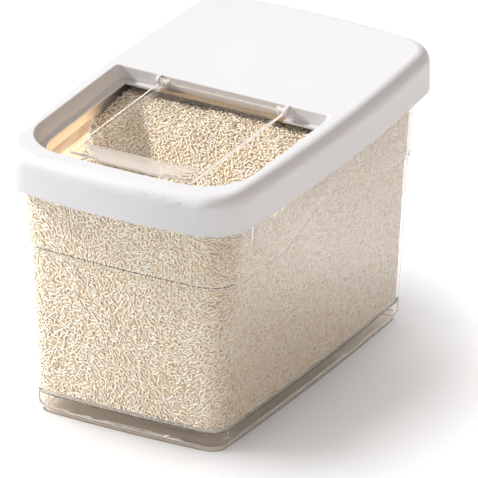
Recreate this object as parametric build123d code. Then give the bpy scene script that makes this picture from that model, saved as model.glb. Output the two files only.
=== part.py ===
from build123d import *
import os
from math import atan2, cos, hypot, sin, sqrt

# Rice storage bin: a clear tub with a lift-off white lid. The front half of the lid is a sunken
# clear window, and a clear flap hinged at the back of the window covers the pouring opening.
# The origin is at the middle of the base, +Z is up and the pouring end faces -Y. Millimetres.

# Tub
BASE_WIDTH = 187.2         # plan of the tub at floor level, over the crowns of its bowed sides
BASE_LENGTH = 317.8
BASE_CORNER = 17.0
TUB_SIDE_BOW = 3500.0      # radius of the faint outward bow of the long walls
TUB_END_BOW = 1300.0       # the same for the end walls
TUB_HEIGHT = 232.0
TUB_DRAFT = 0.058          # outward lean of the walls per millimetre of height
TUB_WALL = 2.4
STEP_OUT = 1.7             # the wall above the step line stands this much further out
STEP_HEIGHT = 154.5
STEP_LAP = 2.0             # the inner step lies this much above the outer one
HUMP_RISE = 23.0           # the step line humps up over the middle of each long wall
HUMP_HALF_LENGTH = 96.0
HUMP_CENTRE = 8.0
FOOT_HEIGHT = 3.5
FOOT_INSET = 3.5
FOOT_WALL = 3.0
BASE_ROUNDING = 6.0
FLOOR_TOP = 18.5
FLOOR_THICKNESS = 2.5
FLOOR_ROUNDING = 4.0
RIM_REACH = 5.0            # the rim's flange beyond the wall
RIM_THICKNESS = 2.4
RIM_LIP_HEIGHT = 8.0
RIM_LIP_THICKNESS = 1.6
RIB_WIDTH = 1.6            # upright nesting ribs inside the long walls
RIB_DEPTH = 1.2
RIB_HEIGHT = 34.0          # the ribs reach this far down from the lid's plug wall
RIB_SETBACK = 37.0         # from the ends of the base

# Lid
LID_SIDE_OVERHANG = 7.25   # the skirt's outside beyond the rim, at the sides and at the ends
LID_END_OVERHANG = 8.75
LID_CORNER = 36.0
LID_SIDE_BOW = 1750.0
LID_END_BOW = 642.0
LID_WALL = 2.2
LID_SHOULDER = 11.0
LID_RISE = 15.5            # the lid's top above the rim
SKIRT_HEIGHT = 35.0
GASKET_THICKNESS = 2.5
GASKET_MARGIN = 0.8        # bare edge of the rim on each side of the gasket
SEAT_THICKNESS = 2.0
PLUG_WALL = 1.8
PLUG_GAP = 2.0
PLUG_DEPTH = 16.0          # how far the plug wall reaches down inside the mouth

# Sunken window in the lid's front half
RECESS_SIDE_MARGIN = 18.3  # from the lid's side to the recess's top edge
RECESS_FRONT_MARGIN = 22.2
RECESS_BACK = 10.8         # the back wall stands this far behind the lid's middle
RECESS_CORNER = 46.0
RECESS_SIDE_BOW = 9000.0
RECESS_FRONT_BOW = 1100.0
RECESS_BACK_CORNER = 4.5
RECESS_DRAFT = 0.41        # inward lean of the recess walls per millimetre of depth
RECESS_EDGE_ROUNDING = 1.5
RECESS_WALL = 2.0
WINDOW_DEPTH = 10.0        # from the lid's top down to the window's top
WINDOW_THICKNESS = 2.5
WINDOW_GAP = 0.3
LEDGE_WIDTH = 5.0
LEDGE_THICKNESS = 2.0

# Pouring flap and its hinge
FLAP_WIDTH = 119.0
FLAP_FRONT_MARGIN = 18.6   # from the recess's top edge back to the flap's front edge
FLAP_THICKNESS = 2.5
FLAP_RAISE = 3.0           # the flap's underside above the window
FLAP_CORNER = 2.5
FLAP_BACK_GAP = 0.6        # between the flap's back edge and the recess's back wall
FLAP_BACK_ROUNDING = 2.0
HINGE_SETOUT = 3.8         # the hinge axis in front of the recess's back wall
HINGE_DEPTH = 4.1          # the hinge axis below the lid's top
HINGE_SIDE_GAP = 0.5       # between a knuckle and its ear
KNUCKLE_RADIUS = 3.3
KNUCKLE_LENGTH = 7.0
EAR_RADIUS = 3.9
EAR_THICKNESS = 2.4
PIN_RADIUS = 1.6
PIN_LENGTH = 8.5
PIN_INSET = 0.2            # the pin's end in from the ear's outer face
PIN_CHAMFER = 0.3
PIN_CLEARANCE = 0.05
PIN_END_GAP = 0.5
UPSTAND_WALL = 1.6
UPSTAND_INSET = 2.0        # the upstand's outside, in from the flap's side edges
UPSTAND_BACK_GAP = 8.0     # the upstand's outside, in front of the hinge axis
LIP_LENGTH = 17.0          # finger lip in front of the upstand
SCOOP_WIDTH = 109.4        # the lip's finger scoop, at its back
SCOOP_FRONT_WIDTH = 62.0
SCOOP_DROP = 2.2
SCOOP_WALL = 1.8
RIDGE_RADIUS = 0.9

CUT_PAST = 1.0             # cutters run this far past the faces that they cut

# Heights and places that follow from the sizes above
RIM_TOP = TUB_HEIGHT
LID_TOP = RIM_TOP + LID_RISE
SKIRT_BOTTOM = LID_TOP - SKIRT_HEIGHT
SEAT_BOTTOM = RIM_TOP + GASKET_THICKNESS
PLUG_BOTTOM = RIM_TOP - PLUG_DEPTH
RIB_BOTTOM = PLUG_BOTTOM - RIB_HEIGHT
RIB_PLACE = BASE_LENGTH / 2 - RIB_SETBACK
DECK_BOTTOM = LID_TOP - LID_WALL
WINDOW_TOP = LID_TOP - WINDOW_DEPTH
LEDGE_TOP = WINDOW_TOP - WINDOW_THICKNESS
LEDGE_BOTTOM = LEDGE_TOP - LEDGE_THICKNESS
FLAP_BOTTOM = WINDOW_TOP + FLAP_RAISE
FLAP_TOP = FLAP_BOTTOM + FLAP_THICKNESS
RIM_GROW = STEP_OUT + TUB_DRAFT * RIM_TOP + RIM_REACH
LID_HALF_WIDTH = BASE_WIDTH / 2 + RIM_GROW + LID_SIDE_OVERHANG
LID_HALF_LENGTH = BASE_LENGTH / 2 + RIM_GROW + LID_END_OVERHANG
RECESS_HALF_WIDTH = LID_HALF_WIDTH - RECESS_SIDE_MARGIN
RECESS_FRONT = LID_HALF_LENGTH - RECESS_FRONT_MARGIN
FLAP_FRONT = RECESS_FRONT - FLAP_FRONT_MARGIN
FLAP_BACK = RECESS_BACK - FLAP_BACK_GAP
HINGE_Y = RECESS_BACK - HINGE_SETOUT
HINGE_Z = LID_TOP - HINGE_DEPTH
EAR_INSIDE = FLAP_WIDTH / 2 + HINGE_SIDE_GAP
EAR_OUTSIDE = EAR_INSIDE + EAR_THICKNESS
PIN_OUTSIDE = EAR_OUTSIDE - PIN_INSET
PIN_INSIDE = PIN_OUTSIDE - PIN_LENGTH
UPSTAND_HALF_WIDTH = FLAP_WIDTH / 2 - UPSTAND_INSET
UPSTAND_FRONT = FLAP_FRONT - LIP_LENGTH
UPSTAND_BACK = HINGE_Y - UPSTAND_BACK_GAP
BIG = 4 * max(LID_HALF_LENGTH, LID_HALF_WIDTH, LID_TOP)

# Plans: half width, half length, corner radius, bow radius of the long sides, of the short sides
TUB_PLAN = (BASE_WIDTH / 2, BASE_LENGTH / 2, BASE_CORNER, TUB_SIDE_BOW, TUB_END_BOW)
LID_PLAN = (LID_HALF_WIDTH, LID_HALF_LENGTH, LID_CORNER, LID_SIDE_BOW, LID_END_BOW)
RECESS_PLAN = (RECESS_HALF_WIDTH, RECESS_FRONT, RECESS_CORNER, RECESS_SIDE_BOW, RECESS_FRONT_BOW)


def plan_face(plan, grow, z):
    """Flat face at height z: a rectangle with bowed sides and round corners, all moved out by grow."""
    half_w, half_l, corner, side_bow, end_bow = [size + grow for size in plan]
    side_x = half_w - side_bow
    end_y = half_l - end_bow
    # the corner's centre lies side_bow - corner from (side_x, 0) and end_bow - corner from (0, end_y)
    apart = hypot(side_x, end_y)
    to_side = side_bow - corner
    to_end = end_bow - corner
    along = (to_side**2 - to_end**2 + apart**2) / (2 * apart)
    aside = sqrt(to_side**2 - along**2)
    centre_x = side_x + (-side_x * along - end_y * aside) / apart
    centre_y = (end_y * along - side_x * aside) / apart
    side_angle = atan2(centre_y, centre_x - side_x)
    end_angle = atan2(centre_y - end_y, centre_x)
    mid_angle = (side_angle + end_angle) / 2
    side_x_end = side_x + side_bow * cos(side_angle)
    side_y_end = side_bow * sin(side_angle)
    corner_x = centre_x + corner * cos(mid_angle)
    corner_y = centre_y + corner * sin(mid_angle)
    end_x_end = end_bow * cos(end_angle)
    end_y_end = end_y + end_bow * sin(end_angle)
    arcs = []
    for turn in (1, -1):
        side_start = (turn * side_x_end, -turn * side_y_end)
        side_stop = (turn * side_x_end, turn * side_y_end)
        end_start = (turn * end_x_end, turn * end_y_end)
        end_stop = (-turn * end_x_end, turn * end_y_end)
        next_start = (-turn * side_x_end, turn * side_y_end)
        arcs.append(ThreePointArc(side_start, (turn * half_w, 0), side_stop))
        arcs.append(ThreePointArc(side_stop, (turn * corner_x, turn * corner_y), end_start))
        arcs.append(ThreePointArc(end_start, (0, turn * half_l), end_stop))
        arcs.append(ThreePointArc(end_stop, (-turn * corner_x, turn * corner_y), next_start))
    return Pos(0, 0, z) * make_face(Curve() + arcs)


def plan_prism(plan, grow, bottom, top):
    """Upright solid over a plan."""
    return extrude(plan_face(plan, grow, bottom), amount=top - bottom)


def plan_ring(plan, outer, inner, bottom, top):
    """Upright ring between two outlines of one plan."""
    return plan_prism(plan, outer, bottom, top) - plan_prism(plan, inner, bottom, top)


def block(x0, x1, y0, y1, z0, z1):
    """Box given by its limits."""
    return Pos((x0 + x1) / 2, (y0 + y1) / 2, (z0 + z1) / 2) * Box(x1 - x0, y1 - y0, z1 - z0)


def in_front_of(y):
    """Everything on the pouring side of y."""
    return block(-BIG, BIG, -BIG, y, -BIG, BIG)


def edges_at(solid, z):
    """The solid's edges that lie flat at height z."""
    return [e for e in solid.edges() if abs(e.center().Z - z) < 0.01 and abs(e.bounding_box().size.Z) < 0.01]


def wall_grow(z):
    """How far the tub's upper wall stands out of the base plan at height z."""
    return STEP_OUT + TUB_DRAFT * z


def tub_form(grow, bottom, top):
    """Leaning solid of the tub between two heights, its walls moved out by grow."""
    faces = [plan_face(TUB_PLAN, grow + TUB_DRAFT * z, z) for z in (bottom, top)]
    return loft(faces, ruled=True)


def above_step(lift):
    """Everything above the step line, which humps up over the middle of the long walls."""
    low = STEP_HEIGHT + lift
    start = (HUMP_CENTRE - HUMP_HALF_LENGTH, low)
    rising = (HUMP_CENTRE - HUMP_HALF_LENGTH / 2, low + HUMP_RISE / 2)
    crest = (HUMP_CENTRE, low + HUMP_RISE)
    falling = (HUMP_CENTRE + HUMP_HALF_LENGTH / 2, low + HUMP_RISE / 2)
    stop = (HUMP_CENTRE + HUMP_HALF_LENGTH, low)
    line = Line((-BIG, low), start)
    line += TangentArc(start, rising, tangent=(1, 0))
    line += TangentArc(rising, crest, tangent=line % 1)
    line += TangentArc(crest, falling, tangent=(1, 0))
    line += TangentArc(falling, stop, tangent=line % 1)
    line += Line(stop, (BIG, low))
    line += Polyline((BIG, low), (BIG, BIG), (-BIG, BIG), (-BIG, low))
    return extrude(Plane.YZ * make_face(line), amount=BIG, both=True)


def nesting_ribs():
    """Four upright ribs inside the long walls, which stop stacked tubs from jamming."""
    ribs = []
    wall = tub_form(STEP_OUT - TUB_WALL / 2, RIB_BOTTOM, PLUG_BOTTOM)
    wall -= tub_form(STEP_OUT - TUB_WALL - RIB_DEPTH, RIB_BOTTOM, PLUG_BOTTOM)
    for place in (-RIB_PLACE, RIB_PLACE):
        slab = block(-BIG, BIG, place - RIB_WIDTH / 2, place + RIB_WIDTH / 2, RIB_BOTTOM, PLUG_BOTTOM)
        ribs += (wall & slab).solids()
    return ribs


def make_tub():
    """Clear tub: leaning walls with a step, a raised floor, a foot ring and a flanged rim."""
    outside = tub_form(0, FOOT_HEIGHT, RIM_TOP)
    outside = fillet(edges_at(outside, FOOT_HEIGHT), BASE_ROUNDING)
    outside += tub_form(STEP_OUT, STEP_HEIGHT, RIM_TOP) & above_step(0)
    outside += plan_prism(TUB_PLAN, -FOOT_INSET, 0, FOOT_HEIGHT + BASE_ROUNDING)
    outside += plan_prism(TUB_PLAN, RIM_GROW, RIM_TOP - RIM_THICKNESS, RIM_TOP)
    outside += plan_ring(TUB_PLAN, RIM_GROW, RIM_GROW - RIM_LIP_THICKNESS, RIM_TOP - RIM_LIP_HEIGHT, RIM_TOP)
    inside = tub_form(-TUB_WALL, FLOOR_TOP, RIM_TOP + CUT_PAST)
    inside = fillet(edges_at(inside, FLOOR_TOP), FLOOR_ROUNDING)
    inside += tub_form(STEP_OUT - TUB_WALL, STEP_HEIGHT, RIM_TOP + CUT_PAST) & above_step(STEP_LAP)
    under = plan_prism(TUB_PLAN, -FOOT_INSET - FOOT_WALL, -CUT_PAST, FLOOR_TOP - FLOOR_THICKNESS)
    tub = outside - inside - under
    return tub + nesting_ribs()


def round_back(solid, radius):
    """Round the upright edges at the back of a solid."""
    back = solid.bounding_box().max.Y
    upright = [e for e in solid.edges() if e.bounding_box().min.Y > back - radius and e.bounding_box().size.Z > 0.5]
    return fillet(upright, radius)


def recess_form(grow, bottom, top):
    """Solid of the sunken window's recess, its walls leaning inwards with depth."""
    faces = [plan_face(RECESS_PLAN, grow - RECESS_DRAFT * (LID_TOP - z), z) for z in (bottom, top)]
    form = loft(faces, ruled=True) & in_front_of(RECESS_BACK + grow)
    return round_back(form, RECESS_BACK_CORNER + grow)


def recess_cutter():
    """What the recess takes out of the lid, flared at the top to round the recess's edge."""
    cutter = recess_form(0, LEDGE_TOP, LID_TOP)
    cutter += block(-BIG, BIG, -BIG, BIG, LID_TOP, LID_TOP + CUT_PAST)
    top_edge = [e for e in edges_at(cutter, LID_TOP) if abs(e.center().X) + abs(e.center().Y) < BIG / 2]
    return fillet(top_edge, RECESS_EDGE_ROUNDING)


def ledge_grow():
    """Inset of the recess's walls where they meet the ledge."""
    return -RECESS_DRAFT * (LID_TOP - LEDGE_TOP)


def across(radius, x0, x1):
    """Cylinder along the hinge axis between two places."""
    return Pos((x0 + x1) / 2, HINGE_Y, HINGE_Z) * Rot(0, 90, 0) * Cylinder(radius, abs(x1 - x0))


def make_ear(side):
    """Rounded ear on the recess's back wall that holds one hinge pin."""
    x0, x1 = sorted((side * EAR_INSIDE, side * EAR_OUTSIDE))
    ear = across(EAR_RADIUS, x0, x1)
    root = RECESS_BACK + RECESS_WALL
    return ear + block(x0, x1, HINGE_Y, root, HINGE_Z - EAR_RADIUS, HINGE_Z + EAR_RADIUS)


def make_lid():
    """White lid: skirt and deck, plug wall, gasket seat, the window's recess and the hinge's ears."""
    shell = plan_prism(LID_PLAN, 0, SKIRT_BOTTOM, LID_TOP)
    shell = fillet(edges_at(shell, LID_TOP), LID_SHOULDER)
    hollow = plan_prism(LID_PLAN, -LID_WALL, SKIRT_BOTTOM - CUT_PAST, DECK_BOTTOM)
    hollow = fillet(edges_at(hollow, DECK_BOTTOM), LID_SHOULDER - LID_WALL)
    lid = shell - hollow
    plug = wall_grow(PLUG_BOTTOM) - TUB_WALL - PLUG_GAP
    lid += plan_ring(TUB_PLAN, plug, plug - PLUG_WALL, PLUG_BOTTOM, DECK_BOTTOM)
    lid += plan_ring(TUB_PLAN, RIM_GROW, plug - PLUG_WALL, SEAT_BOTTOM, SEAT_BOTTOM + SEAT_THICKNESS)
    lid += recess_form(RECESS_WALL, LEDGE_BOTTOM, DECK_BOTTOM)
    lid -= recess_cutter()
    opening = plan_prism(RECESS_PLAN, ledge_grow() - LEDGE_WIDTH, LEDGE_BOTTOM - CUT_PAST, LEDGE_TOP + CUT_PAST)
    lid -= opening & in_front_of(RECESS_BACK - LEDGE_WIDTH)
    for side in (-1, 1):
        lid += make_ear(side)
        lid -= across(PIN_RADIUS, side * (EAR_INSIDE - CUT_PAST), side * (EAR_OUTSIDE + CUT_PAST))
    return lid


def make_gasket():
    """Flat silicone ring between the rim and the lid's seat."""
    outer = wall_grow(RIM_TOP) + RIM_REACH - GASKET_MARGIN
    inner = wall_grow(RIM_TOP) - TUB_WALL + GASKET_MARGIN
    return plan_ring(TUB_PLAN, outer, inner, RIM_TOP, SEAT_BOTTOM)


def make_window():
    """Clear window on the ledge, with the pouring opening and the upstand that the flap closes on."""
    grow = ledge_grow() - WINDOW_GAP
    plate = plan_prism(RECESS_PLAN, grow, LEDGE_TOP, WINDOW_TOP) & in_front_of(RECESS_BACK - WINDOW_GAP)
    plate = round_back(plate, RECESS_BACK_CORNER - WINDOW_GAP)
    plate += block(-UPSTAND_HALF_WIDTH, UPSTAND_HALF_WIDTH, -UPSTAND_FRONT, UPSTAND_BACK, LEDGE_TOP, FLAP_BOTTOM)
    inner = UPSTAND_HALF_WIDTH - UPSTAND_WALL
    plate -= block(-inner, inner, -UPSTAND_FRONT + UPSTAND_WALL, UPSTAND_BACK - UPSTAND_WALL, 0, LID_TOP)
    return plate


def scoop_plan(grow, bottom, top):
    """Upright solid over the finger scoop's plan, which narrows towards the flap's front edge."""
    back = SCOOP_WIDTH / 2 + grow
    front = SCOOP_FRONT_WIDTH / 2 + grow
    corners = [(-back, -UPSTAND_FRONT), (-front, -FLAP_FRONT), (front, -FLAP_FRONT), (back, -UPSTAND_FRONT)]
    return extrude(Pos(0, 0, bottom) * make_face(Polyline(*corners, close=True)), amount=top - bottom)


def scoop_wedge(lower):
    """Solid above the scoop's sloping floor, or above its underside when lowered."""
    back_z = FLAP_TOP - lower
    front_z = FLAP_TOP - SCOOP_DROP - lower
    side = [(-UPSTAND_FRONT, back_z), (-FLAP_FRONT, front_z), (-FLAP_FRONT, LID_TOP), (-UPSTAND_FRONT, LID_TOP)]
    return extrude(Plane.YZ * make_face(Polyline(*side, close=True)), amount=SCOOP_WIDTH, both=True)


def make_flap():
    """Clear flap with its finger scoop, the ridge behind the scoop, and the hinge knuckles."""
    half = FLAP_WIDTH / 2
    flap = block(-half, half, -FLAP_FRONT, FLAP_BACK, FLAP_BOTTOM, FLAP_TOP)
    corners = [e for e in flap.edges().filter_by(Axis.Z) if e.center().Y < 0]
    flap = fillet(corners, FLAP_CORNER)
    back = [e for e in edges_at(flap, FLAP_BOTTOM) if e.bounding_box().min.Y > FLAP_BACK - FLAP_BACK_GAP]
    flap = fillet(back, FLAP_BACK_ROUNDING)
    pocket = scoop_plan(SCOOP_WALL, FLAP_BOTTOM - SCOOP_DROP, FLAP_TOP)
    flap += pocket & scoop_wedge(SCOOP_WALL)
    flap -= scoop_plan(0, FLAP_BOTTOM - SCOOP_DROP, FLAP_TOP + CUT_PAST) & scoop_wedge(0)
    ridge = Cylinder(RIDGE_RADIUS, SCOOP_WIDTH)
    flap += Pos(0, -UPSTAND_FRONT + RIDGE_RADIUS, FLAP_TOP) * Rot(0, 90, 0) * ridge
    for side in (-1, 1):
        flap += across(KNUCKLE_RADIUS, side * (half - KNUCKLE_LENGTH), side * half)
        bore_end = PIN_INSIDE - PIN_END_GAP
        flap -= across(PIN_RADIUS + PIN_CLEARANCE, side * bore_end, side * (half + CUT_PAST))
    return flap


def make_pin(side):
    """Hinge pin, pressed into the ear and running in the knuckle."""
    pin = across(PIN_RADIUS, side * PIN_INSIDE, side * PIN_OUTSIDE)
    return chamfer(pin.edges().filter_by(GeomType.CIRCLE), PIN_CHAMFER)


def main():
    nodes = {
        "container": make_tub(),
        "lid_shell": make_lid(),
        "lid_gasket": make_gasket(),
        "window_panel": make_window(),
        "pour_flap": make_flap(),
        "hinge_pin_left": make_pin(-1),
        "hinge_pin_right": make_pin(1),
    }
    os.makedirs("parts", exist_ok=True)
    for name, shape in nodes.items():
        export_step(shape, "parts/" + name + ".step")


main()
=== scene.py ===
import math
import random

import bpy
import numpy as np
from mathutils import Matrix, Vector
from mathutils.bvhtree import BVHTree


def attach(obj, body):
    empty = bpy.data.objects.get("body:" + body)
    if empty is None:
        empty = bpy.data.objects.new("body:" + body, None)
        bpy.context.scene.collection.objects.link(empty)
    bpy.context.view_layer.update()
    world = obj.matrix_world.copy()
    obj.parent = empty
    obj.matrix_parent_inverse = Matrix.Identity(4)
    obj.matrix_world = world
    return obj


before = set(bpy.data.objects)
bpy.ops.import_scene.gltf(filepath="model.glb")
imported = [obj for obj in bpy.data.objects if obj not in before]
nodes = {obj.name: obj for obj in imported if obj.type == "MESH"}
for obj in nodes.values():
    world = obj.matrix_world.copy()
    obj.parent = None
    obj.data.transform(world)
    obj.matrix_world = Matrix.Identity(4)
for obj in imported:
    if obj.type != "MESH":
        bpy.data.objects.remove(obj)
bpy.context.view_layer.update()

# Rice: long grains, in metres.
GRAIN_LENGTH = 0.0051
GRAIN_WIDTH = 0.0016
GRAIN_THICKNESS = 0.0013
GRAIN_SPACING = 0.0020
GRAINS_PER_PIECE = 5500
WALL_CANDIDATES = 90000
TOP_CANDIDATES = 34000
RICE_BOTTOM = 0.0189
RICE_PLATEAU = 0.2265
RICE_WALL_TOP = 0.2140
PLUG_CLEARANCE = 0.0062
PLUG_SIDE_SLOPE = 1.7
DIP_DEPTH = 0.031
DIP_LEFT_DEPTH = 0.011
WALL_CLEARANCE = 0.0002
CORE_INSET = 0.0020


# Materials

def new_material(name):
    material = bpy.data.materials.new(name)
    material.use_nodes = True
    tree = material.node_tree
    tree.nodes.clear()
    return material, tree, tree.links


def node(tree, kind, **values):
    made = tree.nodes.new(kind)
    for key, value in values.items():
        setattr(made, key, value)
    return made


def noise(tree, scale, detail=2.0, vector=None):
    made = node(tree, "ShaderNodeTexNoise")
    made.inputs["Scale"].default_value = scale
    made.inputs["Detail"].default_value = detail
    if vector is not None:
        tree.links.new(vector, made.inputs["Vector"])
    return made


def object_coordinates(tree):
    return node(tree, "ShaderNodeTexCoord").outputs["Object"]


def ramp(tree, factor, stops):
    made = node(tree, "ShaderNodeValToRGB")
    elements = made.color_ramp.elements
    while len(elements) < len(stops):
        elements.new(0.5)
    for element, (place, colour) in zip(elements, stops):
        element.position = place
        element.color = (*colour, 1.0)
    tree.links.new(factor, made.inputs["Fac"])
    return made.outputs["Color"]


def spread(tree, factor, low, high):
    made = node(tree, "ShaderNodeMapRange")
    made.inputs["From Min"].default_value = 0.3
    made.inputs["From Max"].default_value = 0.7
    made.inputs["To Min"].default_value = low
    made.inputs["To Max"].default_value = high
    tree.links.new(factor, made.inputs["Value"])
    return made.outputs["Result"]


def bump(tree, height, strength, distance, normal=None):
    made = node(tree, "ShaderNodeBump")
    made.inputs["Strength"].default_value = strength
    made.inputs["Distance"].default_value = distance
    tree.links.new(height, made.inputs["Height"])
    if normal is not None:
        tree.links.new(normal, made.inputs["Normal"])
    return made.outputs["Normal"]


FACE_LEVEL = 0.9995
FACE_TILTED = 0.9975


def bright_edges(tree, seen, share, flat_from, flat_to, frost):
    """Adds the milky glow of a clear plate's cut edges: the faces that don't lie flat.
    Faces that slope a little, such as a finger scoop's, get the frost instead."""
    shape = node(tree, "ShaderNodeNewGeometry")
    parts = node(tree, "ShaderNodeSeparateXYZ")
    tree.links.new(shape.outputs["True Normal"], parts.inputs["Vector"])
    flat = node(tree, "ShaderNodeMath", operation="ABSOLUTE")
    tree.links.new(parts.outputs["Z"], flat.inputs[0])
    upright = node(tree, "ShaderNodeMapRange")
    upright.inputs["From Min"].default_value = flat_from
    upright.inputs["From Max"].default_value = flat_to
    upright.inputs["To Min"].default_value = 0.0
    upright.inputs["To Max"].default_value = share
    tree.links.new(flat.outputs["Value"], upright.inputs["Value"])
    front = node(tree, "ShaderNodeBsdfDiffuse")
    front.inputs["Color"].default_value = (0.95, 0.94, 0.93, 1)
    through = node(tree, "ShaderNodeBsdfTranslucent")
    through.inputs["Color"].default_value = (0.97, 0.93, 0.88, 1)
    milk = node(tree, "ShaderNodeMixShader")
    tree.links.new(front.outputs["BSDF"], milk.inputs[1])
    tree.links.new(through.outputs["BSDF"], milk.inputs[2])
    amount = node(tree, "ShaderNodeMath", operation="MAXIMUM")
    tree.links.new(upright.outputs["Result"], amount.inputs[0])
    tree.links.new(rise_between(tree, flat.outputs["Value"], FACE_LEVEL, FACE_TILTED, frost),
                   amount.inputs[1])
    mix = node(tree, "ShaderNodeMixShader")
    tree.links.new(amount.outputs["Value"], mix.inputs["Fac"])
    tree.links.new(seen, mix.inputs[1])
    tree.links.new(milk.outputs["Shader"], mix.inputs[2])
    return mix.outputs["Shader"]


def rise_between(tree, value, start, end, share=1.0):
    """Goes from 0 to the share as the value goes from start to end."""
    made = node(tree, "ShaderNodeMapRange")
    made.inputs["From Min"].default_value = start
    made.inputs["From Max"].default_value = end
    made.inputs["To Max"].default_value = share
    tree.links.new(value, made.inputs["Value"])
    return made.outputs["Result"]


# Where the painted glow lies on the tub's left wall.
GLOW_X = (-0.082, -0.090)
GLOW_Y = (-0.142, -0.128)
GLOW_Z = (0.180, 0.196)
GLOW_SHARE = 0.88


def painted_wall_glow(tree, seen, place):
    """Painted glow high on the tub's left wall, made for the photograph's view.

    With the lid lifted, and from the left, it shows as an orange band.
    """
    parts = node(tree, "ShaderNodeSeparateXYZ")
    tree.links.new(place, parts.inputs["Vector"])
    sides = node(tree, "ShaderNodeMath", operation="MULTIPLY")
    tree.links.new(rise_between(tree, parts.outputs["X"], *GLOW_X), sides.inputs[0])
    tree.links.new(rise_between(tree, parts.outputs["Y"], *GLOW_Y), sides.inputs[1])
    amount = node(tree, "ShaderNodeMath", operation="MULTIPLY")
    tree.links.new(sides.outputs["Value"], amount.inputs[0])
    tree.links.new(rise_between(tree, parts.outputs["Z"], *GLOW_Z, GLOW_SHARE), amount.inputs[1])
    streaks = node(tree, "ShaderNodeMapping")
    streaks.inputs["Scale"].default_value = (1.0, 0.12, 1.0)
    tree.links.new(place, streaks.inputs["Vector"])
    tone = ramp(tree, noise(tree, 260.0, 3.0, streaks.outputs["Vector"]).outputs["Fac"],
                [(0.35, (0.66, 0.41, 0.22)), (0.65, (0.76, 0.58, 0.40))])
    # Painted glow: a warm translucent layer in faint streaks, standing in for light on the wall.
    painted_glow = node(tree, "ShaderNodeBsdfTranslucent")
    tree.links.new(tone, painted_glow.inputs["Color"])
    mix = node(tree, "ShaderNodeMixShader")
    tree.links.new(amount.outputs["Value"], mix.inputs["Fac"])
    tree.links.new(seen, mix.inputs[1])
    tree.links.new(painted_glow.outputs["BSDF"], mix.inputs[2])
    return mix.outputs["Shader"]


def clear_above(tree, seen, place, height):
    """Leaves nothing to see above a height, where the piece touches another clear one."""
    parts = node(tree, "ShaderNodeSeparateXYZ")
    tree.links.new(place, parts.inputs["Vector"])
    over = node(tree, "ShaderNodeMath", operation="GREATER_THAN")
    over.inputs[1].default_value = height
    tree.links.new(parts.outputs["Z"], over.inputs[0])
    nothing = node(tree, "ShaderNodeBsdfTransparent")
    mix = node(tree, "ShaderNodeMixShader")
    tree.links.new(over.outputs["Value"], mix.inputs["Fac"])
    tree.links.new(seen, mix.inputs[1])
    tree.links.new(nothing.outputs["BSDF"], mix.inputs[2])
    return mix.outputs["Shader"]


def clear_plastic(name, tint, lamp_tint, ior=1.49, smooth=0.0, rough=0.03, waviness=0.15,
                  veil=0.0, edges=0.0, flat_from=0.95, flat_to=0.3, frost=0.0, painted_warm_light=None,
                  touches_at=None):
    """Moulded clear plastic. Lamps and soft light shine through it, and it bends what is seen
    through it. A veil is the whitish haze that it shows where it is seen at a slant."""
    material, tree, links = new_material(name)
    place = object_coordinates(tree)
    shader = node(tree, "ShaderNodeBsdfPrincipled")
    shader.inputs["Base Color"].default_value = (*tint, 1)
    # Painted reflection: below a height the tub turns warm, standing in for the rice reflected in its
    # base.
    if painted_warm_light:
        height = node(tree, "ShaderNodeSeparateXYZ")
        links.new(place, height.inputs["Vector"])
        links.new(ramp(tree, rise_between(tree, height.outputs["Z"], PAINTED_REFLECTION_TOP, PAINTED_REFLECTION_END),
                       [(0.0, painted_warm_light), (1.0, tint)]), shader.inputs["Base Color"])
    shader.inputs["Transmission Weight"].default_value = 1.0
    shader.inputs["IOR"].default_value = ior
    flow = noise(tree, 22.0, 1.0, place)
    links.new(spread(tree, noise(tree, 60.0, 3.0, place).outputs["Fac"], smooth, rough),
              shader.inputs["Roughness"])
    links.new(bump(tree, flow.outputs["Fac"], waviness, 0.0006), shader.inputs["Normal"])
    seen = shader.outputs["BSDF"]
    if veil:
        haze = node(tree, "ShaderNodeBsdfDiffuse")
        haze.inputs["Color"].default_value = (0.93, 0.93, 0.93, 1)
        slant = node(tree, "ShaderNodeLayerWeight")
        slant.inputs["Blend"].default_value = 0.5
        rise = node(tree, "ShaderNodeMapRange")
        rise.inputs["From Min"].default_value = 0.62
        rise.inputs["From Max"].default_value = 1.0
        rise.inputs["To Min"].default_value = 0.0
        rise.inputs["To Max"].default_value = veil
        links.new(slant.outputs["Facing"], rise.inputs["Value"])
        cloudy = node(tree, "ShaderNodeMixShader")
        links.new(rise.outputs["Result"], cloudy.inputs["Fac"])
        links.new(seen, cloudy.inputs[1])
        links.new(haze.outputs["BSDF"], cloudy.inputs[2])
        seen = cloudy.outputs["Shader"]
    if edges:
        seen = bright_edges(tree, seen, edges, flat_from, flat_to, frost)
    # The same setting also adds the painted glow on the tub's left wall.
    if painted_warm_light:
        seen = painted_wall_glow(tree, seen, place)
    if touches_at:
        seen = clear_above(tree, seen, place, touches_at)
    through = node(tree, "ShaderNodeBsdfTransparent")
    through.inputs["Color"].default_value = (*lamp_tint, 1)
    path = node(tree, "ShaderNodeLightPath")
    passes = node(tree, "ShaderNodeMath", operation="MAXIMUM")
    links.new(path.outputs["Is Shadow Ray"], passes.inputs[0])
    links.new(path.outputs["Is Diffuse Ray"], passes.inputs[1])
    mix = node(tree, "ShaderNodeMixShader")
    out = node(tree, "ShaderNodeOutputMaterial")
    links.new(passes.outputs["Value"], mix.inputs["Fac"])
    links.new(seen, mix.inputs[1])
    links.new(through.outputs["BSDF"], mix.inputs[2])
    links.new(mix.outputs["Shader"], out.inputs["Surface"])
    return material


# Box round the lid's ledge between the hinges, which gets painted shade.
PAINTED_SHADE_BOX = (("X", -0.0592, 0.0592), ("Y", -0.0060, 0.0112), ("Z", 0.2328, 0.23505))


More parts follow.
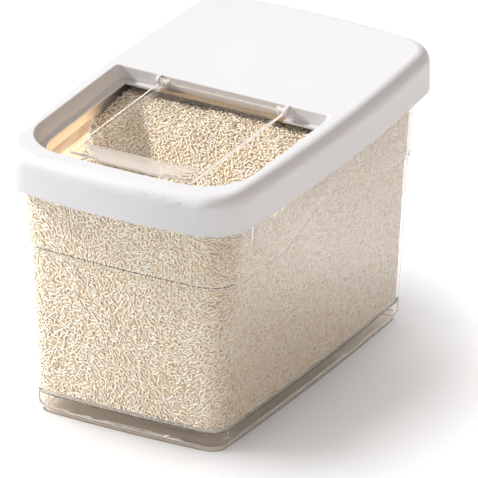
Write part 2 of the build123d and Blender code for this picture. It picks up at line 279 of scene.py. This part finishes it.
def shade_ledge(tree, colour, place):
    """Paints the lid's ledge between the hinges brown, as it looks in the photograph."""
    # Painted shade: the ledge takes the brown of the shaded rice beside it.
    parts = node(tree, "ShaderNodeSeparateXYZ")
    tree.links.new(place, parts.inputs["Vector"])
    inside = None
    for axis, low, high in PAINTED_SHADE_BOX:
        for edge, operation in ((low, "GREATER_THAN"), (high, "LESS_THAN")):
            test = node(tree, "ShaderNodeMath", operation=operation)
            test.inputs[1].default_value = edge
            tree.links.new(parts.outputs[axis], test.inputs[0])
            if inside is None:
                inside = test.outputs["Value"]
            else:
                both = node(tree, "ShaderNodeMath", operation="MULTIPLY")
                tree.links.new(inside, both.inputs[0])
                tree.links.new(test.outputs["Value"], both.inputs[1])
                inside = both.outputs["Value"]
    mix = node(tree, "ShaderNodeMix", data_type="RGBA")
    tree.links.new(inside, mix.inputs["Factor"])
    tree.links.new(colour, mix.inputs["A"])
    mix.inputs["B"].default_value = (0.40, 0.28, 0.16, 1)
    return mix.outputs["Result"]


def solid_plastic(name, light, dark, rough_low, rough_high, grain_scale=900.0, grain=0.12,
                  subsurface=0.0, ledge=False):
    """Moulded solid plastic: faint cloudy colour, satin sheen and a fine eroded grain."""
    material, tree, links = new_material(name)
    place = object_coordinates(tree)
    shader = node(tree, "ShaderNodeBsdfPrincipled")
    cloud = noise(tree, 14.0, 3.0, place)
    colour = ramp(tree, cloud.outputs["Fac"], [(0.3, dark), (0.7, light)])
    # Painted shade on the ledge between the hinges, brown like shaded rice.
    if ledge:
        colour = shade_ledge(tree, colour, place)
    links.new(colour, shader.inputs["Base Color"])
    links.new(spread(tree, noise(tree, 45.0, 3.0, place).outputs["Fac"], rough_low, rough_high),
              shader.inputs["Roughness"])
    fine = noise(tree, grain_scale, 2.0, place)
    links.new(bump(tree, fine.outputs["Fac"], grain, 0.0002), shader.inputs["Normal"])
    if subsurface:
        shader.inputs["Subsurface Weight"].default_value = subsurface
        shader.inputs["Subsurface Radius"].default_value = (1.0, 0.9, 0.8)
        shader.inputs["Subsurface Scale"].default_value = 0.002
    out = node(tree, "ShaderNodeOutputMaterial")
    links.new(shader.outputs["BSDF"], out.inputs["Surface"])
    return material


TONE_PLACES = [0.0, 0.10, 0.45, 0.85, 1.0]
TONES = [(0.66, 0.53, 0.36), (0.83, 0.71, 0.54), (0.91, 0.83, 0.70), (0.94, 0.89, 0.79),
         (0.96, 0.94, 0.89)]


def grain_material():
    """Polished white rice: each grain has its own tone, with a chalky heart in some."""
    material, tree, links = new_material("rice_grain")
    place = object_coordinates(tree)
    shader = node(tree, "ShaderNodeBsdfPrincipled")
    colour = node(tree, "ShaderNodeVertexColor", layer_name="grain_colour")
    mottle = noise(tree, 900.0, 2.0, place)
    links.new(colour.outputs["Color"], shader.inputs["Base Color"])
    links.new(spread(tree, mottle.outputs["Fac"], 0.38, 0.55), shader.inputs["Roughness"])
    shader.inputs["Subsurface Weight"].default_value = 0.12
    shader.inputs["Subsurface Radius"].default_value = (1.0, 0.8, 0.5)
    shader.inputs["Subsurface Scale"].default_value = 0.0012
    out = node(tree, "ShaderNodeOutputMaterial")
    links.new(shader.outputs["BSDF"], out.inputs["Surface"])
    return material


def rice_mass_material():
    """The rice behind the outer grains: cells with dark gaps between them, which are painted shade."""
    material, tree, links = new_material("rice_mass")
    place = object_coordinates(tree)
    shader = node(tree, "ShaderNodeBsdfPrincipled")
    cells = node(tree, "ShaderNodeTexVoronoi", feature="F1")
    cells.inputs["Scale"].default_value = 330.0
    links.new(place, cells.inputs["Vector"])
    # Painted shade: each cell darkens towards its edge, as shade falls in the gaps between grains.
    links.new(ramp(tree, cells.outputs["Distance"], [
        (0.10, (0.90, 0.80, 0.62)), (0.75, (0.66, 0.52, 0.34))]), shader.inputs["Base Color"])
    shader.inputs["Roughness"].default_value = 0.7
    links.new(bump(tree, cells.outputs["Distance"], 0.6, 0.001), shader.inputs["Normal"])
    out = node(tree, "ShaderNodeOutputMaterial")
    links.new(shader.outputs["BSDF"], out.inputs["Surface"])
    return material


def floor_material():
    material, tree, links = new_material("studio_floor")
    shader = node(tree, "ShaderNodeBsdfPrincipled")
    place = object_coordinates(tree)
    links.new(ramp(tree, noise(tree, 3.0, 2.0, place).outputs["Fac"],
                   [(0.3, (0.90, 0.90, 0.91)), (0.7, (0.92, 0.92, 0.93))]),
              shader.inputs["Base Color"])
    shader.inputs["Roughness"].default_value = 0.9
    shader.inputs["Specular IOR Level"].default_value = 0.1
    out = node(tree, "ShaderNodeOutputMaterial")
    links.new(shader.outputs["BSDF"], out.inputs["Surface"])
    return material


UPSTAND_TOP = 0.2405
# Heights over which the tub's base fades from its painted warm reflection to clear.
PAINTED_REFLECTION_TOP = 0.0175
PAINTED_REFLECTION_END = 0.0190
# The tub carries painted warm light: a warm reflection in its base and a glow on its left wall.
TUB = clear_plastic("tub_clear", (0.985, 0.98, 0.975), (0.94, 0.92, 0.895), waviness=0.04,
                    veil=0.8, painted_warm_light=(0.975, 0.895, 0.80))
WINDOW = clear_plastic("window_clear", (0.99, 0.985, 0.98), (0.96, 0.95, 0.94), ior=1.01,
                       waviness=0.05, edges=0.12, touches_at=UPSTAND_TOP - 0.0001)
FLAP = clear_plastic("flap_clear", (0.99, 0.985, 0.98), (0.96, 0.95, 0.94), ior=1.1,
                     waviness=0.05, edges=0.75, flat_from=0.99, flat_to=0.5, frost=0.55)
# The lid carries painted shade on its ledge between the hinges.
LID = solid_plastic("lid_white", (0.72, 0.72, 0.735), (0.70, 0.70, 0.715), 0.34, 0.46,
                    ledge=True)
SEAL = solid_plastic("seal_silicone", (0.80, 0.78, 0.74), (0.74, 0.72, 0.67), 0.50, 0.65,
                     grain_scale=500.0, subsurface=0.2)
PIN = solid_plastic("pin_white", (0.76, 0.76, 0.77), (0.72, 0.72, 0.73), 0.30, 0.40)
GRAIN = grain_material()
MASS = rice_mass_material()


def dress(names, material):
    for name in names:
        o = nodes[name]
        o.data.materials.clear()
        o.data.materials.append(material)


dress(["container"], TUB)
dress(["lid_shell"], LID)
dress(["lid_gasket"], SEAL)
dress(["window_panel"], WINDOW)
dress(["pour_flap"], FLAP)
dress(["hinge_pin_left", "hinge_pin_right"], PIN)


# Rice. Its outline is read from the tub's own inside wall, by rays from the middle of the tub.

dice = random.Random(41)
rng = np.random.default_rng(41)

tub_mesh = nodes["container"].data
tub_tree = BVHTree.FromPolygons([v.co for v in tub_mesh.vertices],
                                [p.vertices for p in tub_mesh.polygons])


def rice_height(x, y):
    """The top of the rice: heaped level at the back, and scooped out under the pouring opening."""
    leftness = min(1.0, max(0.0, -x / 0.1))
    from_middle = abs(y + 0.085 - 0.015 * leftness) / 0.074
    dip = math.cos(min(1.0, from_middle) * math.pi / 2) ** 2
    ripple = (0.0010 * math.sin(x * 31.0 + 0.6) * math.cos(y * 17.0 - 0.4)
              + 0.0006 * math.sin(x * 73.0 - y * 49.0 + 1.1)
              + 0.0004 * math.sin(x * 141.0 + y * 119.0))
    return RICE_PLATEAU - (DIP_DEPTH + DIP_LEFT_DEPTH * leftness) * dip + ripple


def rice_top(x, y, from_wall):
    """The rice's height: low under the lid's plug wall, and heaped inside it."""
    heaped = RICE_WALL_TOP + PLUG_SIDE_SLOPE * max(0.0, from_wall - PLUG_CLEARANCE)
    return min(rice_height(x, y), heaped)


def wall_hit(angle, z):
    """Where a level ray from the middle of the tub meets its inside wall, and the normal there."""
    way = Vector((math.cos(angle), math.sin(angle), 0.0))
    place, normal = tub_tree.ray_cast(Vector((0, 0, z)), way)[:2]
    if place is None:
        raise RuntimeError("the tub has no wall at this height")
    if normal.dot(way) > 0:
        normal = -normal
    return place, normal


ANGLES = 300
ROWS = 56


def wall_rows():
    """Rows of (place, inward normal) round the inside wall, from the floor up to the rice's top."""
    rows = []
    for j in range(ROWS + 1):
        share = j / ROWS
        row = []
        for i in range(ANGLES):
            angle = 2 * math.pi * i / ANGLES
            flat = wall_hit(angle, RICE_WALL_TOP)[0]
            top = rice_top(flat.x, flat.y, 0.0)
            z = RICE_BOTTOM + (top - RICE_BOTTOM) * share
            row.append(wall_hit(angle, z))
        rows.append(row)
    return rows


rows = wall_rows()
wall_places = np.array([[list(p) for p, n in row] for row in rows])
wall_normals = np.array([[list(n) for p, n in row] for row in rows])


def mesh_object(name, places, faces, material, smooth=True):
    mesh = bpy.data.meshes.new(name)
    mesh.from_pydata([tuple(p) for p in places], [], faces)
    mesh.update()
    if smooth:
        mesh.polygons.foreach_set("use_smooth", [True] * len(mesh.polygons))
    mesh.materials.append(material)
    made = bpy.data.objects.new(name, mesh)
    bpy.context.scene.collection.objects.link(made)
    return made


def make_core():
    """The mass of rice behind the grains that show: the wall rows set inwards, closed above and below."""
    inset = wall_places + wall_normals * CORE_INSET
    inset[0, :, 2] += 0.0012
    places = [tuple(p) for row in inset for p in row]
    faces = []
    for j in range(ROWS):
        for i in range(ANGLES):
            k = (i + 1) % ANGLES
            faces.append((j * ANGLES + i, j * ANGLES + k, (j + 1) * ANGLES + k, (j + 1) * ANGLES + i))
    ring = ROWS
    shares = [1 - 0.035 * k for k in range(1, 28)]
    below = [len(places) - ANGLES + i for i in range(ANGLES)]
    edge = inset[ring]
    for share in shares:
        now = []
        for i in range(ANGLES):
            x, y = edge[i, 0] * share, edge[i, 1] * share
            from_wall = math.hypot(edge[i, 0], edge[i, 1]) * (1 - share)
            places.append((x, y, rice_top(x, y, from_wall) - 0.0017))
            now.append(len(places) - 1)
        for i in range(ANGLES):
            k = (i + 1) % ANGLES
            faces.append((below[i], below[k], now[k], now[i]))
        below = now
    places.append((0, 0, rice_height(0, 0) - 0.0017))
    middle = len(places) - 1
    for i in range(ANGLES):
        faces.append((below[i], below[(i + 1) % ANGLES], middle))
    places.append((0, 0, inset[0, 0, 2]))
    middle = len(places) - 1
    for i in range(ANGLES):
        faces.append((i, middle, (i + 1) % ANGLES))
    return mesh_object("rice_mass", places, faces, MASS)


NEIGHBOURS = [(dx, dy, dz) for dx in (-1, 0, 1) for dy in (-1, 0, 1) for dz in (-1, 0, 1)]


def crowded(p, key, cells, spacing):
    """True if a kept place in this cell, or in one beside it, is nearer than the spacing."""
    for dx, dy, dz in NEIGHBOURS:
        for q in cells.get((key[0] + dx, key[1] + dy, key[2] + dz), ()):
            if (p[0] - q[0]) ** 2 + (p[1] - q[1]) ** 2 + (p[2] - q[2]) ** 2 < spacing ** 2:
                return True
    return False


def spaced(candidates, spacing, taken=None):
    """Keeps the candidates that stand at least the spacing apart. A candidate is (place, ...)."""
    cells = {} if taken is None else taken
    kept = []
    for item in candidates:
        p = item[0]
        key = (int(math.floor(p[0] / spacing)), int(math.floor(p[1] / spacing)),
               int(math.floor(p[2] / spacing)))
        if not crowded(p, key, cells, spacing):
            cells.setdefault(key, []).append(p)
            kept.append(item)
    return kept


def wall_candidates(count):
    """Places spread evenly by area over the inside wall, with the wall's normal at each."""
    a, b = wall_places[:-1], np.roll(wall_places[:-1], -1, axis=1)
    c, d = wall_places[1:], np.roll(wall_places[1:], -1, axis=1)
    area = (np.linalg.norm(np.cross(b - a, c - a), axis=2)).ravel()
    chosen = rng.choice(area.size, size=count, p=area / area.sum())
    u, v = rng.random(count), rng.random(count)
    j, i = np.divmod(chosen, ANGLES)
    u, v = u[:, None], v[:, None]
    place = ((a[j, i] * (1 - u) + b[j, i] * u) * (1 - v) + (c[j, i] * (1 - u) + d[j, i] * u) * v)
    na, nb = wall_normals[:-1], np.roll(wall_normals[:-1], -1, axis=1)
    normal = na[j, i] * (1 - u) + nb[j, i] * u
    normal /= np.linalg.norm(normal, axis=1)[:, None]
    return list(zip(place.tolist(), normal.tolist()))


def top_candidates(count):
    """Places over the top of the rice, inside the wall's outline."""
    edge = wall_places[-1]
    angles = np.arctan2(edge[:, 1], edge[:, 0])
    order = np.argsort(angles)
    reach = np.linalg.norm(edge[:, :2], axis=1)
    half = np.abs(edge[:, :2]).max(0)
    found = []
    while len(found) < count:
        x = (rng.random() * 2 - 1) * half[0]
        y = (rng.random() * 2 - 1) * half[1]
        limit = np.interp(math.atan2(y, x), angles[order], reach[order], period=2 * math.pi)
        from_wall = limit - math.hypot(x, y)
        if from_wall > 0.0022:
            found.append(((x, y, rice_top(x, y, from_wall)), slope_normal(x, y, from_wall)))
    return found


def slope_normal(x, y, from_wall):
    """The way that the rice's top faces."""
    step = 0.002
    rise_x = (rice_top(x + step, y, from_wall) - rice_top(x - step, y, from_wall)) / (2 * step)
    rise_y = (rice_top(x, y + step, from_wall) - rice_top(x, y - step, from_wall)) / (2 * step)
    return tuple(Vector((-rise_x, -rise_y, 1.0)).normalized())


def drift(p):
    """The way that the grains lean, which changes slowly over the rice."""
    return (0.9 * math.sin(p[0] * 38 + 1.3) + 0.8 * math.sin(p[1] * 29 + 0.4)
            + 0.9 * math.sin(p[2] * 33 + 2.1))


def grain_form():
    """One grain: six sides round three rings, blunt at one end, with a tip at each."""
    sides = 6
    rings = [(-0.74, 0.66), (-0.12, 1.0), (0.62, 0.80)]
    places = [(-1.0, 0.0, 0.0)]
    for x, r in rings:
        for s in range(sides):
            t = 2 * math.pi * (s + 0.5) / sides
            places.append((x, r * math.cos(t), r * math.sin(t)))
    places.append((1.0, 0.0, 0.0))
    faces = [(0, 1 + (s + 1) % sides, 1 + s) for s in range(sides)]
    for ring in range(len(rings) - 1):
        for s in range(sides):
            low, high = 1 + ring * sides, 1 + (ring + 1) * sides
            k = (s + 1) % sides
            faces.append((low + s, low + k, high + k, high + s))
    last = 1 + (len(rings) - 1) * sides
    faces += [(last + s, last + (s + 1) % sides, len(places) - 1) for s in range(sides)]
    return np.array(places), faces


FORM, FORM_FACES = grain_form()


def make_grains(name, items):
    """items: (centre, surface normal, lean in the surface, tilt out of it, size, tone)."""
    count = len(items)
    centre = np.array([i[0] for i in items])
    n = np.array([i[1] for i in items])
    lean = np.array([i[2] for i in items])
    tilt = np.array([i[3] for i in items])
    size = np.array([i[4] for i in items])
    tone = np.array([i[5] for i in items])
    up = np.where(np.abs(n[:, 2:3]) > 0.5, np.array([[1.0, 0.0, 0.0]]), np.array([[0.0, 0.0, 1.0]]))
    across = np.cross(up, n)
    across /= np.linalg.norm(across, axis=1)[:, None]
    rise = np.cross(n, across)
    along = across * np.cos(lean)[:, None] + rise * np.sin(lean)[:, None]
    along = along * np.cos(tilt)[:, None] + n * np.sin(tilt)[:, None]
    side = np.cross(n, along)
    side /= np.linalg.norm(side, axis=1)[:, None]
    out = np.cross(along, side)
    half = np.array([GRAIN_LENGTH, GRAIN_WIDTH, GRAIN_THICKNESS]) / 2
    x = FORM[None, :, 0:1] * half[0] * size[:, None, None]
    y = FORM[None, :, 1:2] * half[1] * (0.5 + 0.5 * size[:, None, None])
    z = FORM[None, :, 2:3] * half[2] * (0.5 + 0.5 * size[:, None, None])
    places = centre[:, None, :] + x * along[:, None, :] + y * side[:, None, :] + z * out[:, None, :]
    corners = np.concatenate([np.array(f) for f in FORM_FACES])
    sizes = np.array([len(f) for f in FORM_FACES])
    all_corners = (corners[None, :] + (np.arange(count) * len(FORM))[:, None]).ravel()
    all_sizes = np.tile(sizes, count)
    starts = np.concatenate([[0], np.cumsum(all_sizes)[:-1]])
    mesh = bpy.data.meshes.new(name)
    mesh.vertices.add(count * len(FORM))
    mesh.loops.add(len(all_corners))
    mesh.polygons.add(len(all_sizes))
    mesh.vertices.foreach_set("co", places.reshape(-1).astype(np.float32))
    mesh.loops.foreach_set("vertex_index", all_corners.astype(np.int32))
    mesh.polygons.foreach_set("loop_start", starts.astype(np.int32))
    mesh.polygons.foreach_set("use_smooth", np.ones(len(all_sizes), bool))
    colour = mesh.color_attributes.new("grain_colour", "FLOAT_COLOR", "POINT")
    values = np.ones((count, len(FORM), 4), np.float32)
    for channel in range(3):
        values[:, :, channel] = np.interp(tone, TONE_PLACES, [c[channel] for c in TONES])[:, None]
    values[:, :, :3] *= np.where(np.abs(FORM[:, 0]) > 0.9, 0.93, 1.0)[None, :, None]
    colour.data.foreach_set("color", values.ravel())
    mesh.update(calc_edges=True)
    mesh.validate()
    mesh.materials.append(GRAIN)
    made = bpy.data.objects.new(name, mesh)
    bpy.context.scene.collection.objects.link(made)
    return made


def tone_of():
    pick = dice.random()
    if pick < 0.05:
        return dice.uniform(0.0, 0.12)
    if pick > 0.93:
        return dice.uniform(0.9, 1.0)
    return min(0.9, max(0.1, dice.gauss(0.5, 0.17)))


def in_pieces(name, items):
    made = []
    for start in range(0, len(items), GRAINS_PER_PIECE):
        made.append(make_grains(f"{name}_{1 + start // GRAINS_PER_PIECE}",
                                items[start:start + GRAINS_PER_PIECE]))
    return made


def wall_grains():
    """The grains that lie against the clear wall."""
    items = []
    for p, n in spaced(wall_candidates(WALL_CANDIDATES), GRAIN_SPACING):
        size = min(1.15, max(0.6, dice.gauss(0.98, 0.10)))
        depth = GRAIN_THICKNESS / 2 + WALL_CLEARANCE + abs(dice.gauss(0, 0.0003))
        tilt = max(-0.16, min(0.16, dice.gauss(0, 0.06)))
        depth += abs(math.sin(tilt)) * GRAIN_LENGTH / 2 * 0.7
        centre = [p[k] + n[k] * depth for k in range(3)]
        centre[2] = max(centre[2], RICE_BOTTOM + 0.0006)
        lean = drift(p) + dice.gauss(0, 0.75)
        if centre[2] < RICE_BOTTOM + 0.0032:
            lean = dice.gauss(0, 0.12)
        items.append((centre, n, lean, tilt, size, tone_of()))
    items.sort(key=lambda item: math.atan2(item[0][0], -item[0][1]))
    return in_pieces("rice_at_wall", items)


def top_grains():
    """The heaped surface: two layers, the upper one tipped and tumbled."""
    items = []
    for layer, (drop, spacing) in enumerate([(0.0014, 0.0026), (0.0002, 0.0024)]):
        for p, n in spaced(top_candidates(TOP_CANDIDATES), spacing):
            size = min(1.15, max(0.6, dice.gauss(0.98, 0.10)))
            tilt = max(-0.5, min(0.5, dice.gauss(0, 0.16 if layer else 0.08)))
            centre = (p[0], p[1], p[2] - drop + dice.gauss(0, 0.0002))
            items.append((centre, n, drift(p) * 1.5 + dice.gauss(0, 0.9), tilt, size, tone_of()))
    items.sort(key=lambda item: item[0][1])
    return in_pieces("rice_on_top", items)


rice = [make_core()] + wall_grains() + top_grains()
for piece in rice:
    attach(piece, "tub")


# Studio: a pale floor, soft light from all round and one main lamp from the camera's left.

floor = mesh_object("studio_floor", [(-20, -20, 0), (20, -20, 0), (20, 20, 0), (-20, 20, 0)],
                    [(0, 1, 2, 3)], floor_material(), smooth=False)

SKY_LEVEL = 0.29
SKY_LEAN = (-0.28, -0.02, 0.45)

world = bpy.data.worlds.new("studio")
bpy.context.scene.world = world
world.use_nodes = True
background = world.node_tree.nodes["Background"]
background.inputs["Color"].default_value = (0.98, 0.985, 1.0, 1)
sky_way = node(world.node_tree, "ShaderNodeTexCoord")
sky_lean = node(world.node_tree, "ShaderNodeVectorMath", operation="DOT_PRODUCT")
sky_lean.inputs[1].default_value = SKY_LEAN
sky_level = node(world.node_tree, "ShaderNodeMath", operation="ADD")
sky_level.inputs[1].default_value = SKY_LEVEL
sky_level.use_clamp = True
world.node_tree.links.new(sky_way.outputs["Generated"], sky_lean.inputs[0])
world.node_tree.links.new(sky_lean.outputs["Value"], sky_level.inputs[0])
world.node_tree.links.new(sky_level.outputs["Value"], background.inputs["Strength"])

KEY_WAY = Vector((1.6, 0.22, -1.0)).normalized()
FLOOR_WAY = Vector((1.0, 0.35, -2.5)).normalized()


def sun(name, energy, angle, way, colour=(1.0, 0.99, 0.98)):
    """Far lamp that shines along way, as wide as angle in degrees."""
    data = bpy.data.lights.new(name, "SUN")
    data.energy = energy
    data.angle = math.radians(angle)
    data.color = colour
    made = bpy.data.objects.new(name, data)
    made.rotation_euler = way.to_track_quat("-Z", "Y").to_euler()
    bpy.context.scene.collection.objects.link(made)
    return made


def group_of(name, state, members):
    """Things that a lamp shines on (INCLUDE), or that it leaves dark (EXCLUDE)."""
    group = bpy.data.collections.new(name)
    for member in members:
        group.objects.link(member)
    return group, state


def shine_on(lamp, receivers):
    """Links a lamp to what it shines on, or to what it leaves dark."""
    group, state = receivers
    lamp.light_linking.receiver_collection = group
    for entry in group.collection_objects:
        entry.light_linking.link_state = state


def panel_lamp(name, energy, size, place, target, colour=(1.0, 1.0, 1.0), spread_angle=180):
    """Flat lamp at place, facing target. Only its light shows, never the lamp."""
    data = bpy.data.lights.new(name, "AREA")
    data.energy = energy
    data.spread = math.radians(spread_angle)
    data.shape = "RECTANGLE"
    data.size, data.size_y = size
    data.color = colour
    made = bpy.data.objects.new(name, data)
    made.location = place
    made.rotation_euler = (Vector(target) - made.location).to_track_quat("-Z", "Y").to_euler()
    made.visible_camera = made.visible_glossy = made.visible_transmission = False
    bpy.context.scene.collection.objects.link(made)
    return made


NOT_FLOOR = group_of("not_floor", "EXCLUDE", [floor])
FLOOR_ONLY = group_of("floor_only", "INCLUDE", [floor])
NOT_LID = group_of("not_lid", "EXCLUDE", [nodes["lid_shell"], floor])
LID_ONLY = group_of("lid_only", "INCLUDE", [nodes["lid_shell"]])

shine_on(sun("main_lamp", 4.4, 4, KEY_WAY), NOT_FLOOR)
shine_on(sun("warm_right", 0.45, 70, Vector((-1.0, 0.08, -0.45)).normalized(), (1.0, 0.52, 0.14)),
         NOT_FLOOR)
shine_on(sun("floor_lamp", 1.6, 26, FLOOR_WAY), FLOOR_ONLY)
shine_on(sun("floor_fill", 0.75, 110, Vector((0.15, 0.1, -1)).normalized()), FLOOR_ONLY)
shine_on(panel_lamp("floor_lift", 0.094, (0.06, 0.06), (0.21, 0.20, 0.12), (0.21, 0.20, 0.0)),
         FLOOR_ONLY)
shine_on(panel_lamp("front_fill", 3.3, (0.5, 0.3), (-0.50, -0.62, 0.13), (-0.06, 0, 0.08),
                    (0.88, 0.95, 1.0)), NOT_LID)
shine_on(panel_lamp("plug_bounce", 0.010, (0.10, 0.012), (-0.050, -0.085, 0.229),
                    (-0.1, -0.085, 0.218), (1.0, 0.60, 0.28), 50), LID_ONLY)


# Camera, at the photograph's angle.

AZIMUTH = 29.6
ELEVATION = 25.6
AIM_RIGHT = 0.0173
AIM_UP = 0.1029
SENSOR = 36.0
CLIP_END = 200.0
VIEW_WIDTH = 0.3997
DISTANCE = 30.0
azimuth, elevation = math.radians(AZIMUTH), math.radians(ELEVATION)
back = Vector((math.sin(azimuth) * math.cos(elevation), -math.cos(azimuth) * math.cos(elevation),
               math.sin(elevation)))
right = Vector((math.cos(azimuth), math.sin(azimuth), 0.0))
up = back.cross(right)
aim = right * AIM_RIGHT + up * AIM_UP
camera_data = bpy.data.cameras.new("camera")
camera_data.sensor_width = SENSOR
camera_data.lens = SENSOR * DISTANCE / VIEW_WIDTH
camera_data.clip_end = CLIP_END
camera = bpy.data.objects.new("camera", camera_data)
turn = Matrix((right, up, back)).transposed().to_4x4()
camera.matrix_world = Matrix.Translation(aim + back * DISTANCE) @ turn
bpy.context.scene.collection.objects.link(camera)
bpy.context.scene.camera = camera

bpy.context.scene.view_settings.view_transform = "Standard"
bpy.context.scene.view_settings.look = "None"
